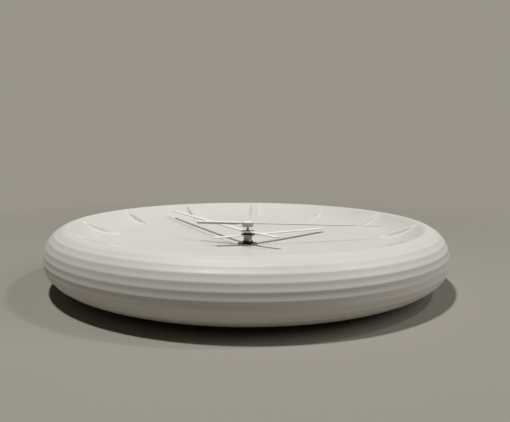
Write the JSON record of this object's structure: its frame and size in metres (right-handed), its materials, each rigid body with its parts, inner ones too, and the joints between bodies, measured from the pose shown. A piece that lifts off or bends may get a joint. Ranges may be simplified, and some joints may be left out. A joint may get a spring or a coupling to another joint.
{
  "type": "ceramic wall clock",
  "caption": "Round ceramic wall clock: a fluted puffy rim round a shallow bowl dial with raised hour marks, three centre hands and a battery quartz movement behind.",
  "frame": {"origin": "centre of the foot ring's plane, on the hands' axis", "axes": "+Z out of the dial, +Y to twelve o'clock, +X to three o'clock; the clock lies on its back"},
  "size_m": [0.3298, 0.3298, 0.0489],
  "materials": {
    "ceramic": "matte off-white",
    "hand_white": "satin white",
    "brass": "turned, satin",
    "washer_brass": "dull stamped",
    "dark_steel": "blackened",
    "zinc": "plated thread",
    "black_plastic": "moulded, fine texture",
    "gear_plastic": "moulded acetal",
    "rubber": "matte",
    "steel": "stamped sheet",
    "copper": "enamelled wire",
    "board": "solder mask",
    "battery": "plain sleeve"
  },
  "bodies": {
    "clock_body": {"ceramic_body": "ceramic", "rubber_gasket": "rubber", "hanger_bracket": "steel", "fixing_washer": "washer_brass", "fixing_nut": "dark_steel", "threaded_bush": "zinc", "movement_case": "black_plastic", "rear_cover": "black_plastic", "wheel_bridge": "gear_plastic", "motor_stator": "steel", "coil_core": "steel", "coil_bobbin": "black_plastic", "coil_winding": "copper", "circuit_board": "board", "control_chip": "black_plastic", "quartz_crystal": "steel", "contact_positive": "steel", "contact_negative": "steel"},
    "battery_cell": {"battery": "battery"},
    "rotor": {"rotor_magnet": "dark_steel", "rotor_pinion": "steel"},
    "intermediate": {"intermediate_wheel": "gear_plastic"},
    "seconds": {"seconds_wheel": "gear_plastic", "second_hand_pipe": "brass", "second_hand_hub": "hand_white", "second_hand_needle": "hand_white", "second_hand_counterweight": "hand_white"},
    "third": {"third_wheel": "gear_plastic"},
    "centre": {"centre_wheel": "gear_plastic", "clutch_spring": "steel"},
    "minutes": {"minute_arbor": "brass", "minute_hand": "hand_white", "minute_hand_collet": "brass"},
    "motion_work": {"motion_wheel": "gear_plastic", "setting_knob": "black_plastic"},
    "hours": {"hour_wheel": "black_plastic", "hour_hand": "hand_white", "hour_hand_collar": "black_plastic"}
  },
  "joints": [
    {"name": "second_hand_turn", "type": "hinge", "parent": "clock_body", "child": "seconds", "pos_m": [0, 0, 0.0467], "axis": [0, 0, -1], "continuous": true},
    {"name": "rotor_turn", "type": "hinge", "parent": "clock_body", "child": "rotor", "pos_m": [-0.01431, 0.00159, 0.0085], "axis": [0, 0, -1], "continuous": true},
    {"name": "intermediate_turn", "type": "hinge", "parent": "clock_body", "child": "intermediate", "pos_m": [-0.00885, -0.00156, 0.0065], "axis": [0, 0, -1], "continuous": true},
    {"name": "third_wheel_turn", "type": "hinge", "parent": "clock_body", "child": "third", "pos_m": [0.00225, 0.0084, 0.0087], "axis": [0, 0, -1], "continuous": true},
    {"name": "centre_wheel_turn", "type": "hinge", "parent": "clock_body", "child": "centre", "pos_m": [0, 0, 0.0112], "axis": [0, 0, -1], "continuous": true},
    {"name": "minute_hand_turn", "type": "hinge", "parent": "clock_body", "child": "minutes", "pos_m": [0, 0, 0.0397], "axis": [0, 0, -1], "continuous": true},
    {"name": "setting_knob_turn", "type": "hinge", "parent": "clock_body", "child": "motion_work", "pos_m": [0.012, 0, 0.0139], "axis": [0, 0, -1], "continuous": true},
    {"name": "hour_hand_turn", "type": "hinge", "parent": "clock_body", "child": "hours", "pos_m": [0, 0, 0.0365], "axis": [0, 0, -1], "continuous": true},
    {"name": "battery_slide", "type": "slide", "parent": "clock_body", "child": "battery_cell", "axis": [0, 0, -1], "range_m": [0, 0.02]}
  ],
  "couplings": [
    {"joint": "rotor_turn", "follows": "second_hand_turn", "ratio": 30},
    {"joint": "intermediate_turn", "follows": "second_hand_turn", "ratio": -5},
    {"joint": "third_wheel_turn", "follows": "second_hand_turn", "ratio": -0.13333},
    {"joint": "centre_wheel_turn", "follows": "second_hand_turn", "ratio": 0.016667},
    {"joint": "setting_knob_turn", "follows": "minute_hand_turn", "ratio": -0.33333},
    {"joint": "hour_hand_turn", "follows": "minute_hand_turn", "ratio": 0.083333}
  ]
}
